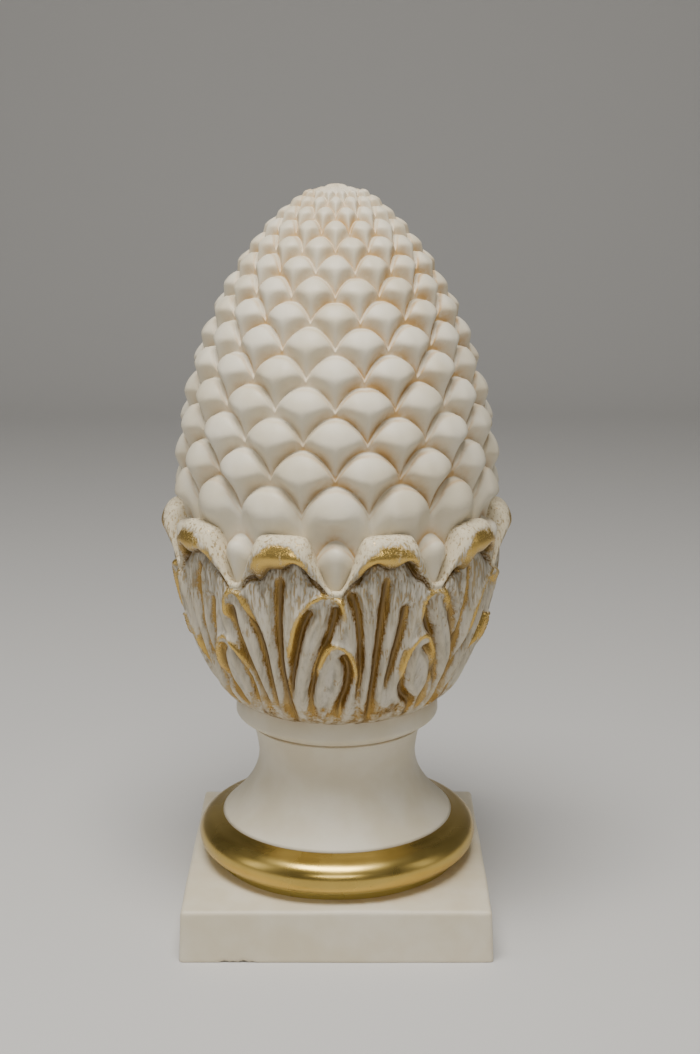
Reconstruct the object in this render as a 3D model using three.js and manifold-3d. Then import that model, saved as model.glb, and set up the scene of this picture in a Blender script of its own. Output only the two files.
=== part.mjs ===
// Artichoke finial, cast in one piece: a square plinth, a gilded ring, a
// waisted neck with a collar, a cup of ten curled acanthus leaves and a tall
// cone of overlapping scales. Millimetres, +Z up, front towards -Y.

import * as THREE from 'three';
import { mergeVertices } from 'three/addons/utils/BufferGeometryUtils.js';
import Module from 'manifold-3d';

const wasm = await Module();
wasm.setup();

// Plinth
const plinthWidth = 168;
const plinthHeight = 29.5;
const plinthEdgeRadius = 2.2;

// Ring, with the low fillet that it stands on
const ringDiameter = 158.2;
const ringWidth = 22.6;
const ringThickness = 20;
const ringFootDiameter = 139;
const ringFootHeight = 3.5;

// Waisted neck
const neckEdgeHeight = 1.7;
const neckHeight = 53;
const neckFootDiameter = 131;
const waistDiameter = 88.8;
const neckTopDiameter = 95;
const waistShare = 0.67;

// Collar under the leaves
const collarHeight = 20;
const collarDiameter = 114;
const filletHeight = 2;
const filletOverhang = 1.6;

// Cup of leaves
const leafCount = 10;
const cupHeight = 111;
const cupDiameter = 181;
const cupFootDiameter = 99;
const cupSink = 6.7;
const lipReach = 6.6;
const lipRadius = 6.5;
const lipSlope = 4.5;
const leafRelief = 4;

// Cone of scales
const scalesPerRow = 15;
const scaleRows = 14;
const coneHeight = 177;
const coneDiameter = 181.8;
const coneDrop = 2.4;
const coneSeatDepth = 44;
const scaleRelief = 7.5;

const bodyColour = 0xe9e2d0;
const smallestDetail = 0.05;

// Levels, stacked from the floor up.
const ringCentreRadius = (ringDiameter - ringWidth) / 2;
const ringCentreZ = plinthHeight + ringFootHeight + ringThickness / 2;
const ringTopZ = ringCentreZ + ringThickness / 2;
const neckFootZ = ringTopZ + neckEdgeHeight;
const waistZ = neckFootZ + neckHeight * waistShare;
const collarZ = neckFootZ + neckHeight;
const cupFootZ = collarZ + collarHeight - cupSink;
const leafTipZ = cupFootZ + cupHeight;
const widestZ = leafTipZ - coneDrop;
const coneTopZ = widestZ + coneHeight;

// Angles are measured from the front, anticlockwise seen from above.
function around(radius, angle, z) {
  return new THREE.Vector3(radius * Math.sin(angle), -radius * Math.cos(angle), z);
}

// How far an angle is from the nearest of `count` evenly spaced centres:
// 0 on a centre and 1 halfway to the next.
function fromCentre(angle, count, turn = 0) {
  const steps = (angle / (2 * Math.PI)) * count - turn;
  return 2 * Math.abs(steps - Math.round(steps));
}

function mix(a, b, share) {
  return a + (b - a) * share;
}

function smooth(low, high, value) {
  const share = Math.min(1, Math.max(0, (value - low) / (high - low)));
  return share * share * (3 - 2 * share);
}

// A closed body with a free wall: rings of points from a lower pole to an
// upper pole. place(angle, ring) answers [radius, height].
function carvedBody(columns, rings, place, lowZ, highZ) {
  const points = [new THREE.Vector3(0, 0, lowZ)];
  for (let ring = 0; ring < rings; ring += 1) {
    for (let column = 0; column < columns; column += 1) {
      const angle = (2 * Math.PI * column) / columns;
      const [radius, z] = place(angle, ring);
      points.push(around(radius, angle, z));
    }
  }
  points.push(new THREE.Vector3(0, 0, highZ));

  const at = (ring, column) => 1 + ring * columns + (column % columns);
  const index = [];
  for (let column = 0; column < columns; column += 1) {
    index.push(0, at(0, column + 1), at(0, column));
    for (let ring = 0; ring < rings - 1; ring += 1) {
      const lower = at(ring, column);
      const lowerNext = at(ring, column + 1);
      const upper = at(ring + 1, column);
      const upperNext = at(ring + 1, column + 1);
      index.push(lower, lowerNext, upperNext, lower, upperNext, upper);
    }
    index.push(at(rings - 1, column), at(rings - 1, column + 1), points.length - 1);
  }
  const geometry = new THREE.BufferGeometry().setFromPoints(points);
  geometry.setIndex(index);
  return geometry;
}

// Outline of the cone through the crests of its scales: full at the cup,
// then drawn in to a rounded tip.
const coneFullness = 0.625;
const tipExtension = 1.014;

function coneOutline(z) {
  const share = (z - widestZ) / (coneHeight * tipExtension);
  if (share < 0) {
    return (coneDiameter / 2) * (1 - 0.35 * share * share);
  }
  return (coneDiameter / 2) * (1 - Math.min(1, share) ** 2) ** coneFullness;
}

// Height of row number `row`, whole at the corners of its scales. The rows
// draw closer together towards the tip.
const firstRowZ = widestZ + 0.089 * coneHeight;
const lastRowZ = coneTopZ - 1.7;
const rowGathering = 1.69;

function rowZ(row) {
  const share = (scaleRows + 1 - row) / scaleRows;
  return lastRowZ - (lastRowZ - firstRowZ) * share ** rowGathering;
}

// Every other row is turned by half a scale, the first one faces the front.
function acrossScale(row, angle) {
  return fromCentre(angle, scalesPerRow, row % 2 === 1 ? 0 : 0.5);
}

// Upper edge of a row of scales, in rows: an arch over every scale.
const archRise = 0.8;
const fillerWidth = 0.42;

function archLine(row, angle) {
  if (row < 1) {
    const across = fromCentre(angle, leafCount) / fillerWidth;
    return mix(-0.25, 0.34, Math.max(0, 1 - across * across));
  }
  const across = acrossScale(row, angle);
  return row + archRise * (1 - across ** 1.8);
}

// How far the surface of a scale lies behind the outline. `up` runs from its
// point, 0, over the crest to the edge of its arch, 1.
const crestShare = 0.5;

function scaleDepth(across, up) {
  const crest = 0.9 * across ** 2.2;
  if (up < crestShare) {
    return mix(1, crest, up / crestShare);
  }
  const back = (up - crestShare) / (1 - crestShare);
  return mix(crest, Math.max(crest, 0.5), back * back);
}

// A point of the carved cone, from its row, the share up its scale and angle.
function conePoint(row, up, angle) {
  const seam = 0.05;
  const low = row < 1 ? -1.7 : archLine(row - 1, angle) + seam;
  const high = archLine(row, angle);
  const z = rowZ(mix(low, high, up));
  const radius = coneOutline(z);
  const slopeStep = 0.5;
  const slope = (coneOutline(z + slopeStep) - coneOutline(z - slopeStep)) / (2 * slopeStep);
  const relief = scaleRelief * (0.1 + 0.9 * (2 * radius) / coneDiameter);
  const across = row < 1 ? fromCentre(angle, leafCount) / fillerWidth : acrossScale(row, angle);
  const depth = relief * scaleDepth(Math.min(1, across), up);
  const lean = Math.hypot(1, slope);
  return [radius - depth / lean, z + (depth * slope) / lean];
}

function makeCone() {
  const columns = 4 * scalesPerRow;
  const steps = [0, crestShare, 1];
  const rings = steps.length * (scaleRows + 1);
  const place = (angle, ring) => {
    const row = Math.floor(ring / steps.length);
    return conePoint(row, steps[ring % steps.length], angle);
  };
  return carvedBody(columns, rings, place, leafTipZ - coneSeatDepth, coneTopZ);
}

// Outline of the cup under its leaves, full a little below their tips.
const swellShare = 0.94;

function cupOutline(z) {
  const share = Math.min(1, Math.max(0, (z - cupFootZ) / (swellShare * cupHeight)));
  const swell = (1 - (1 - share) ** 2) ** 0.64;
  return mix(cupFootDiameter, cupDiameter, swell) / 2;
}

// The leaf's head is full in its middle and falls away to the gap. `across`
// is 0 on the midrib and 1 in the middle of the gap.
const headWidth = 0.62;
const gapDepth = 22;

function headFullness(across) {
  return 1 - smooth(headWidth - 0.24, headWidth + 0.2, across);
}

function leafTopZ(across) {
  const flank = smooth(headWidth - 0.18, headWidth + 0.3, across);
  return leafTipZ - gapDepth * flank ** 1.1;
}

// Carving of the cup: a groove on the midrib, fluted stems that taper
// downwards, and a smaller leaf standing in every gap.
function leafDepth(across, up) {
  const stemEdge = mix(0.3, headWidth, up);
  const groove = Math.exp(-((across / 0.11) ** 2)) * smooth(0.1, 0.35, up);
  const valley = Math.exp(-(((across - stemEdge) / 0.12) ** 2)) * smooth(0.02, 0.3, up);
  const gapGroove = Math.exp(-(((across - 1) / 0.1) ** 2)) * smooth(0.2, 0.6, up);
  const hollow = headFullness(across) * smooth(0.72, 1, up);
  return leafRelief * (0.8 * groove + 0.9 * valley + 0.5 * gapGroove + 1.1 * hollow);
}

// Wall of one column of the cup, from its foot up the leaf, around the
// curled lip and back into the body.
const wallSteps = 7;
const lipTurns = [-100, -45, 0, 60, 140];

function cupPoint(angle, ring) {
  const across = fromCentre(angle, leafCount, 0.5);
  const fullness = headFullness(across);
  const radius = mix(1.6, lipRadius, fullness);
  const topZ = leafTopZ(across);
  const centreZ = topZ - radius;
  const centreRadius = cupOutline(centreZ) + mix(-1, lipReach, fullness) - radius;
  if (ring < wallSteps) {
    const up = ring / wallSteps;
    const z = mix(cupFootZ, centreZ - radius - 1, up);
    return [cupOutline(z) - leafDepth(across, up), z];
  }
  const turn = THREE.MathUtils.degToRad(lipTurns[Math.min(ring - wallSteps, lipTurns.length - 1)]);
  const back = lipSlope * fullness * Math.max(0, -Math.cos(turn));
  return [centreRadius + radius * Math.cos(turn), centreZ + radius * Math.sin(turn) + back];
}

function makeCup() {
  const columns = 8 * leafCount;
  const rings = wallSteps + lipTurns.length;
  return carvedBody(columns, rings, cupPoint, cupFootZ, leafTipZ - gapDepth);
}

// Ring, waisted neck and collar, turned about the axis.
function makeFoot() {
  const profile = new THREE.Path();
  const rootZ = plinthHeight / 2;
  const underRing = -Math.acos((ringFootDiameter / 2 - ringCentreRadius) / (ringWidth / 2));
  profile.moveTo(0, rootZ);
  profile.lineTo(ringFootDiameter / 2, rootZ);
  profile.absellipse(
    ringCentreRadius, ringCentreZ, ringWidth / 2, ringThickness / 2, underRing, Math.PI / 2,
  );
  profile.lineTo(neckFootDiameter / 2, ringTopZ);
  profile.lineTo(neckFootDiameter / 2, neckFootZ);
  const points = profile.getPoints(3);

  const neckSteps = 4;
  for (let step = 1; step <= neckSteps; step += 1) {
    const down = 1 - step / neckSteps;
    const radius = mix(waistDiameter, neckFootDiameter, down ** 1.93) / 2;
    points.push(new THREE.Vector2(radius, mix(waistZ, neckFootZ, down)));
  }
  const upperSteps = 2;
  for (let step = 1; step <= upperSteps; step += 1) {
    const up = step / upperSteps;
    const radius = mix(waistDiameter, neckTopDiameter, up ** 1.6) / 2;
    points.push(new THREE.Vector2(radius, mix(waistZ, collarZ, up)));
  }
  const filletRadius = neckTopDiameter / 2 + filletOverhang;
  points.push(new THREE.Vector2(filletRadius, collarZ + filletHeight / 2));
  const sweepSteps = 4;
  for (let step = 0; step <= sweepSteps; step += 1) {
    const up = step / sweepSteps;
    const radius = mix(filletRadius, collarDiameter / 2, Math.sin((up * Math.PI) / 2));
    points.push(new THREE.Vector2(radius, mix(collarZ + filletHeight, collarZ + collarHeight * 0.42, up)));
  }
  points.push(new THREE.Vector2(collarDiameter / 2 - 0.4, collarZ + collarHeight * 0.8));
  points.push(new THREE.Vector2(collarDiameter / 2 - 3, collarZ + collarHeight));
  points.push(new THREE.Vector2(0, collarZ + collarHeight));
  return new THREE.LatheGeometry(points, 32).rotateX(Math.PI / 2);
}

// A square slab with softly rounded edges.
function makePlinth() {
  const half = plinthWidth / 2;
  const soft = plinthEdgeRadius;
  const outline = new THREE.Shape();
  outline.absarc(half - 2 * soft, half - 2 * soft, soft, 0, Math.PI / 2);
  outline.absarc(-half + 2 * soft, half - 2 * soft, soft, Math.PI / 2, Math.PI);
  outline.absarc(-half + 2 * soft, -half + 2 * soft, soft, Math.PI, 1.5 * Math.PI);
  outline.absarc(half - 2 * soft, -half + 2 * soft, soft, 1.5 * Math.PI, 2 * Math.PI);
  outline.closePath();
  return new THREE.ExtrudeGeometry(outline, {
    depth: plinthHeight - 2 * soft,
    bevelThickness: soft,
    bevelSize: soft,
    bevelSegments: 3,
    curveSegments: 2,
  }).translate(0, 0, soft);
}

function toSolid(geometry) {
  const bare = geometry.clone();
  bare.deleteAttribute('normal');
  bare.deleteAttribute('uv');
  const welded = mergeVertices(bare, 1e-4);
  return new wasm.Manifold(new wasm.Mesh({
    numProp: 3,
    vertProperties: new Float32Array(welded.attributes.position.array),
    triVerts: new Uint32Array(welded.index.array),
  }));
}

function toGeometry(solid) {
  const mesh = solid.getMesh();
  const geometry = new THREE.BufferGeometry();
  geometry.setAttribute('position', new THREE.BufferAttribute(mesh.vertProperties, 3));
  geometry.setIndex(new THREE.BufferAttribute(mesh.triVerts, 1));
  return geometry;
}

function makeFinial() {
  const solid = [makePlinth(), makeFoot(), makeCup(), makeCone()]
    .map(toSolid)
    .reduce((whole, stage) => whole.add(stage))
    .simplify(smallestDetail);
  const material = new THREE.MeshStandardMaterial({
    color: bodyColour,
    roughness: 0.5,
    metalness: 0,
  });
  const mesh = new THREE.Mesh(toGeometry(solid), material);
  mesh.name = 'artichoke_finial';
  return mesh;
}

const finial = new THREE.Group();
finial.name = 'finial';
finial.add(makeFinial());

export default finial;
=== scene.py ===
"""Artichoke finial: plinth, gilded ring, neck, cup of leaves and cone of scales."""

import math

import bmesh
import bpy
import numpy as np
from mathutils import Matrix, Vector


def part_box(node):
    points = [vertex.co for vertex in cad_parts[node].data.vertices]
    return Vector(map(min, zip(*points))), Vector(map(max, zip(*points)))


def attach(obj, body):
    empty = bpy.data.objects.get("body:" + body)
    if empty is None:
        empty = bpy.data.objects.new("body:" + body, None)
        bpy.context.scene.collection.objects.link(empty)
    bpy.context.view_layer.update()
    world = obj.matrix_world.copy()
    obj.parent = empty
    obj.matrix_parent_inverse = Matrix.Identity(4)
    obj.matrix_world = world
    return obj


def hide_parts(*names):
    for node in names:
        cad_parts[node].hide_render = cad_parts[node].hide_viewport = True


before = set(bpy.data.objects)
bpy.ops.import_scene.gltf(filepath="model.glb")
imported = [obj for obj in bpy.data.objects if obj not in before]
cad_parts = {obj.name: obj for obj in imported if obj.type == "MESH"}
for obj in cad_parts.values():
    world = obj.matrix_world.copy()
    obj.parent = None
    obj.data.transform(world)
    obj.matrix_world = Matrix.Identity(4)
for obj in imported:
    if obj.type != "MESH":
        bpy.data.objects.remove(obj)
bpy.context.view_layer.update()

NODE = "artichoke_finial"

# Sizes in millimetres, as the casting is built from the floor up.
PLINTH_WIDTH = 168.0
PLINTH_HEIGHT = 29.5
PLINTH_EDGE = 2.2

RING_DIAMETER = 158.2
RING_WIDTH = 22.6
RING_THICKNESS = 20.0
RING_FOOT_DIAMETER = 139.0
RING_FOOT_HEIGHT = 3.5

NECK_EDGE_HEIGHT = 1.7
NECK_HEIGHT = 53.0
NECK_FOOT_DIAMETER = 131.0
WAIST_DIAMETER = 88.8
NECK_TOP_DIAMETER = 95.0
WAIST_SHARE = 0.67

COLLAR_HEIGHT = 20.0
COLLAR_DIAMETER = 114.0
FILLET_HEIGHT = 2.0
FILLET_OVERHANG = 1.6

LEAF_COUNT = 10
CUP_HEIGHT = 111.0
CUP_DIAMETER = 181.0
CUP_FOOT_DIAMETER = 99.0
CUP_SINK = 6.7
LIP_REACH = 6.0
LIP_RADIUS = 6.5

SCALES_PER_ROW = 15
SCALE_ROWS = 14
CONE_HEIGHT = 177.0
CONE_DIAMETER = 181.8
CONE_DROP = 2.4
SCALE_RELIEF = 8.8

# Levels, stacked from the floor up.
RING_CENTRE_RADIUS = (RING_DIAMETER - RING_WIDTH) / 2
RING_CENTRE_Z = PLINTH_HEIGHT + RING_FOOT_HEIGHT + RING_THICKNESS / 2
RING_TOP_Z = RING_CENTRE_Z + RING_THICKNESS / 2
NECK_FOOT_Z = RING_TOP_Z + NECK_EDGE_HEIGHT
WAIST_Z = NECK_FOOT_Z + NECK_HEIGHT * WAIST_SHARE
COLLAR_Z = NECK_FOOT_Z + NECK_HEIGHT
CUP_FOOT_Z = COLLAR_Z + COLLAR_HEIGHT - CUP_SINK
LEAF_TIP_Z = CUP_FOOT_Z + CUP_HEIGHT
WIDEST_Z = LEAF_TIP_Z - CONE_DROP
CONE_TOP_Z = WIDEST_Z + CONE_HEIGHT

# Metres in one millimetre of the casting, taken from the height of its solid.
box_low, box_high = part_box(NODE)
MM = (box_high[2] - box_low[2]) / CONE_TOP_Z


def mix(a, b, share):
    return a + (b - a) * share


def smooth(low, high, value):
    share = np.clip((value - low) / (high - low), 0.0, 1.0)
    return share * share * (3.0 - 2.0 * share)


def bell(distance, width):
    return np.exp(-((distance / width) ** 2))


# Carved bodies.

# Points nearer than this, in mm, are one: it closes the poles and the back seam.
SEAM_MERGE = 0.002


def from_centre(angle, count, turn=0.0):
    """0 on one of `count` evenly spaced centres and 1 halfway to the next."""
    steps = angle / (2 * math.pi) * count - turn
    return 2 * np.abs(steps - np.rint(steps))


def carve(name, columns, rings, place):
    """Wrap a grid round the axis and carve it as place(angle, ring) gives.

    Angles are measured from the front, anticlockwise seen from above. Ring -1
    and the last ring are the poles. place answers the radius, the height and
    the paint marks of every point.
    """
    body = bmesh.new()
    bmesh.ops.create_grid(body, x_segments=columns, y_segments=rings + 1, size=1.0)
    mesh = bpy.data.meshes.new(name)
    body.to_mesh(mesh)
    flat = np.empty(len(mesh.vertices) * 3)
    mesh.vertices.foreach_get("co", flat)
    flat = flat.reshape(-1, 3)
    angle = flat[:, 0] * math.pi
    ring = np.rint((flat[:, 1] + 1) / 2 * (rings + 1)).astype(int) - 1
    radius, height, marks = place(angle, ring)
    radius = np.where((ring < 0) | (ring >= rings), 0.0, radius)
    places = np.column_stack((radius * np.sin(angle), -radius * np.cos(angle), height))
    mesh.vertices.foreach_set("co", (places * MM).ravel())
    for mark, strength in marks.items():
        layer = mesh.attributes.new(mark, "FLOAT", "POINT")
        layer.data.foreach_set("value", strength.astype(np.float32))
    body.clear()
    body.from_mesh(mesh)
    bmesh.ops.remove_doubles(body, verts=body.verts, dist=SEAM_MERGE * MM)
    bmesh.ops.recalc_face_normals(body, faces=body.faces)
    body.to_mesh(mesh)
    body.free()
    return finish_piece(name, mesh)


def finish_piece(name, mesh):
    mesh.shade_smooth()
    piece = bpy.data.objects.new(name, mesh)
    bpy.context.scene.collection.objects.link(piece)
    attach(piece, "root")
    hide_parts(NODE)
    return piece


# The cone of scales.

CONE_FULLNESS = 0.625
TIP_EXTENSION = 1.014
FOOT_NARROWING = 0.35
FIRST_ROW_Z = WIDEST_Z + 0.089 * CONE_HEIGHT
LAST_ROW_Z = CONE_TOP_Z - 1.7
ROW_GATHERING = 1.69

# Levels and widths of the scales, in rows and in halves of a scale.
ARCH_RISE = 0.8
ARCH_ROUNDNESS = 2.3
CREST_LEVEL = -0.04
CREST_LIFT = 0.36
CREST_MARGIN = 0.3
SEAM = 0.05
FILLER_WIDTH = 0.42
FILLER_FOOT = -1.7
FILLER_SIDE = -0.25
FILLER_TOP = 0.34
FILLER_PAD = 0.34
FILLER_POINT = 1.1

# Depths behind the crests, as shares of the relief, and the curves down to them.
SIDE_DEPTH = 0.97
SIDE_ROUNDNESS = 2.2
FILLER_ROUNDNESS = 1.5
UPPER_EDGE_DEPTH = 0.66
UPPER_PAD_ROUNDNESS = 2.1
LOWER_FACET_HOLLOW = 1.25
FIRST_ROW_HOLLOW = 2.4
FILLER_HOLLOW = 1.0
KNEE = 8
KNEE_SCALE = 1.09
TIP_RELIEF = 0.18
# Small steps along the arch: depth, then start and end in mm from its edge.
ARCH_STEPS = ((0.17, 1.2, 2.0), (0.20, 0.0, 0.6))

# Ochre wash in the seams: how far it runs up in mm, and the line under the arch.
WASH_RUN = 3.4
ARCH_WASH = 0.55
ARCH_WASH_PLACE = 1.6
ARCH_WASH_WIDTH = 0.7
CAP_WASH = 0.35

SCALE_STEPS = np.array([0.0, 0.03, 0.08, 0.15, 0.24, 0.33, 0.41, 0.48, 0.54, 0.61, 0.69,
                        0.77, 0.84, 0.89, 0.925, 0.955, 0.98, 1.0])
COLUMNS_PER_SCALE = 22
CAP_RINGS = 12
CAP_PETALS = 8
CAP_RELIEF = 0.8
CAP_DIMPLE_PLACE = 0.55
CAP_DIMPLE_WIDTH = 0.1

scale_chance = np.random.default_rng(11)
SCALE_TIP = scale_chance.uniform(-0.06, 0.06, (SCALE_ROWS + 2, SCALES_PER_ROW))
SCALE_BODY = scale_chance.uniform(-0.10, 0.10, (SCALE_ROWS + 2, SCALES_PER_ROW))


def cone_outline(z):
    """Radius through the crests of the scales."""
    share = (z - WIDEST_Z) / (CONE_HEIGHT * TIP_EXTENSION)
    drawn_in = (1 - np.clip(share, 0.0, 0.9999) ** 2) ** CONE_FULLNESS
    return CONE_DIAMETER / 2 * np.where(share < 0, 1 - FOOT_NARROWING * share ** 2, drawn_in)


def row_z(row):
    """Height of a row, whole at the corners of its scales."""
    share = (SCALE_ROWS + 1 - row) / SCALE_ROWS
    return LAST_ROW_Z - (LAST_ROW_Z - FIRST_ROW_Z) * share ** ROW_GATHERING


def row_turn(row):
    """Scales of the even rows stand over the gaps of the odd ones."""
    return np.where(row % 2 == 1, 0.0, 0.5)


def scale_number(row, angle):
    """Which scale of its row a point belongs to."""
    steps = angle / (2 * math.pi) * SCALES_PER_ROW - row_turn(row)
    return np.rint(steps).astype(int) % SCALES_PER_ROW


def across_scale(row, angle):
    """0 on the middle of a scale and 1 at its sides. Row 0 is the fillers."""
    filler = np.minimum(1.0, from_centre(angle, LEAF_COUNT) / FILLER_WIDTH)
    scale = from_centre(angle, SCALES_PER_ROW, row_turn(row))
    return np.where(row < 1, filler, scale)


def arch_line(row, angle):
    """Upper edge of a row, in rows: an arch over every scale."""
    across = across_scale(row, angle)
    uneven = SCALE_TIP[row, scale_number(row, angle)] * (1 - across) ** 2
    filler = mix(FILLER_SIDE, FILLER_TOP, 1 - across ** 2)
    arch = row + (ARCH_RISE + uneven) * (1 - across ** ARCH_ROUNDNESS)
    return np.where(row < 1, filler, arch)


def crest_line(row, across, low, high):
    """Level of the fold between the lower facet and the upper pad."""
    margin = CREST_MARGIN * (high - low)
    crest_level = np.clip(row + CREST_LEVEL + CREST_LIFT * across ** 2,
                          low + margin, high - margin)
    return np.where(row < 1, high - FILLER_PAD, crest_level)


def scale_depth(row, across, level, low, high, body, pitch):
    """Depth behind the outline, from 0 on the crest to 1 in the deepest seam."""
    crest_level = crest_line(row, across, low, high)
    pointed = 1 + FILLER_POINT * np.maximum(crest_level - level, 0.0)
    across = np.where(row < 1, np.minimum(1.0, across * pointed), across)
    roundness = np.where(row < 1, FILLER_ROUNDNESS, SIDE_ROUNDNESS)
    crest = np.clip(SIDE_DEPTH * across ** roundness + body * (1 - across ** 2), 0.0, 1.0)

    below = np.clip((level - low) / (crest_level - low), 0.0, 1.0)
    rounded = KNEE_SCALE * below / (1 + below ** KNEE) ** (1 / KNEE)
    hollow = np.select([row < 1, row == 1], [FILLER_HOLLOW, FIRST_ROW_HOLLOW],
                       LOWER_FACET_HOLLOW)
    facet = 1 - (1 - crest) * rounded ** hollow

    above = np.clip((level - crest_level) / (high - crest_level), 0.0, 1.0)
    pad = crest + np.maximum(UPPER_EDGE_DEPTH - crest, 0.0) * above ** UPPER_PAD_ROUNDNESS
    from_edge = (high - level) * pitch
    steps = sum(depth * (1 - smooth(start, end, from_edge)) for depth, start, end in ARCH_STEPS)
    return np.where(level < crest_level, facet, pad + steps * (1 - crest))


def seam_wash(level, low, high, pitch):
    """Where the ochre wash stays: in the seams and along the arches."""
    in_seam = np.exp(-(level - low) * pitch / WASH_RUN)
    along_arch = bell((high - level) * pitch - ARCH_WASH_PLACE, ARCH_WASH_WIDTH)
    return in_seam + ARCH_WASH * along_arch


def place_scales(angle, ring):
    """Radius, height and wash of the points of the cone."""
    steps = len(SCALE_STEPS)
    wall_rings = steps * (SCALE_ROWS + 1)
    wall_ring = np.clip(ring, 0, wall_rings - 1)
    row = wall_ring // steps
    low = np.where(row < 1, FILLER_FOOT, arch_line(np.maximum(row - 1, 0), angle) + SEAM)
    high = arch_line(row, angle)
    level = mix(low, high, SCALE_STEPS[wall_ring % steps])

    z = row_z(level)
    radius = cone_outline(z)
    slope = cone_outline(z + 0.5) - cone_outline(z - 0.5)
    lean = np.hypot(1.0, slope)
    # Millimetres over the surface in one row.
    pitch = np.abs(row_z(level + 0.05) - row_z(level - 0.05)) / 0.1 * lean
    across = across_scale(row, angle)
    body = SCALE_BODY[row, scale_number(row, angle)]
    relief = SCALE_RELIEF * mix(TIP_RELIEF, 1.0, 2 * radius / CONE_DIAMETER)
    depth = relief * scale_depth(row, across, level, low, high, body, pitch)
    radius = radius - depth / lean
    height = z + depth * slope / lean

    # The rings past the last row close the top with a low cap of petals.
    capped = np.clip((ring - wall_rings + 1) / (CAP_RINGS + 1), 0.0, 1.0)
    height = mix(height, CONE_TOP_Z, 1 - (1 - capped) ** 2)
    petals = from_centre(angle, CAP_PETALS) ** 2 * np.sin(capped * math.pi)
    dimple = bell(capped - CAP_DIMPLE_PLACE, CAP_DIMPLE_WIDTH)
    height = height - np.where(capped > 0, CAP_RELIEF * (petals + dimple), 0.0)
    radius = radius * (1 - capped)
    height = np.where(ring < 0, row_z(FILLER_FOOT) - 1, height)
    seam = np.where(capped > 0, CAP_WASH, seam_wash(level, low, high, pitch))
    return radius, height, {"seam": seam}


def make_cone():
    rings = len(SCALE_STEPS) * (SCALE_ROWS + 1) + CAP_RINGS
    return carve("cone_of_scales", COLUMNS_PER_SCALE * SCALES_PER_ROW, rings, place_scales)


# The cup of leaves.

SWELL_SHARE = 0.94
SWELL_FULLNESS = 0.64
WALL_RINGS = 116
LIP_RINGS = 26
COLUMNS_PER_LEAF = 60

# The heads of the leaves. Places are degrees from the middle of a leaf.
GAP_DEPTH = 22.0
HEAD_EDGE = 7.8
GAP_EDGE = 17.0
FULLNESS_SHARE = 0.9
SHOULDER_START = 3.0
SHOULDER_END = 11.0
SHOULDER_DROP = 2.0
SHOULDER_DRAWN_IN = 0.25
ARCH_PLACE = 5.4
ARCH_WIDTH = 2.8
ARCH_LIFT = 0.62
LOBE_START = 7.5
LOBE_END = 11.0
LOBE_DROP = 0.5
DROOP_PLACE = -6.4
DROOP_WIDTH = 3.0
DROOP_DEPTH = 1.4

# The lip in section. Turns are degrees up from facing outwards.
LIP_EDGE = 1.9
LIP_SLOPE = 4.5
LIP_START = -120.0
LIP_START_IN_GAP = -20.0
LIP_END = 165.0
BACK_START = 0.4
BACK_END = 0.85
LIP_TUCK = 7.0
LIP_TUCK_START = 0.75

# The wall under the lip and down to the foot.
HOLLOW_ON_LEAF = 13.0
HOLLOW_IN_GAP = 4.0
UNDERCUT_DEPTH = 2.6
UNDERCUT_DROP = 1.8
UNDERCUT_WIDTH = 2.4
UNDERCUT_START = (6.0, 9.0)
UNDERCUT_END = (17.0, 13.5)
FOLD_HEIGHT = 0.9
FOLD_Z = CUP_FOOT_Z + 16.0
FOLD_SPREAD = 8.0
FOLDS_ROUND = 45
FOLD_WANDER = 2.2
FOLD_WANDERS_ROUND = 7
FOOT_TUCK = 1.6
FOOT_TUCK_START = CUP_FOOT_Z + 9.0
FOOT_TUCK_END = CUP_FOOT_Z + 2.0

# The carver's gouge.
RUN_OUT = 14.0
STROKE_REACH = 27.0
CURVE_STEPS = 13
GROOVE_WIDTH = 3.1
GROOVE_BROAD = 1.2
GROOVE_NARROW = 0.55
GROOVE_DEPTH = 4.6
CREASE_WIDTH = 1.1
LINE_WIDTH = 1.1
LINE_DEPTH = 0.4
RIDGE_OFFSET = 1.6
RIDGE_CLOSING = 0.75
RIDGE_WIDTH = 1.4
RIDGE_HEIGHT = 1.0
RIM_WIDTH = 1.7
RIM_HEIGHT = 2.3

# Where the paint and the gold lie on the heads, and where painted shade darkens the lips'
# undersides and the hollows under them. The belly's turns are in radians.
GOLD_TOP = 0.62
GOLD_TOP_AT_SIDE = -0.38
GOLD_FADE = 0.9
BACK_CREAM = 0.7
EDGE_CREAM = 0.7
HOLLOW_SHADE = 0.6
BELLY_SHADE = 0.9
BELLY_START = -0.2
BELLY_END = -1.0
EDGE_CREAM_START = 0.93

# Strokes of the gouge, as (degrees from the middle, height in mm). First the
# middle of a leaf: one groove and three light lines.
LEAF_GROOVES = (
    ((-0.3, 219), (-1.5, 200), (-2.5, 180), (-3.0, 160), (-3.0, 134)),
)
LEAF_LINES = (
    ((-8.2, 210), (-5.4, 191), (-4.5, 170)),
    ((4.0, 214), (2.5, 200), (0.6, 176)),
    ((-4.4, 213), (-3.6, 199), (-4.2, 184)),
)

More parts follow.
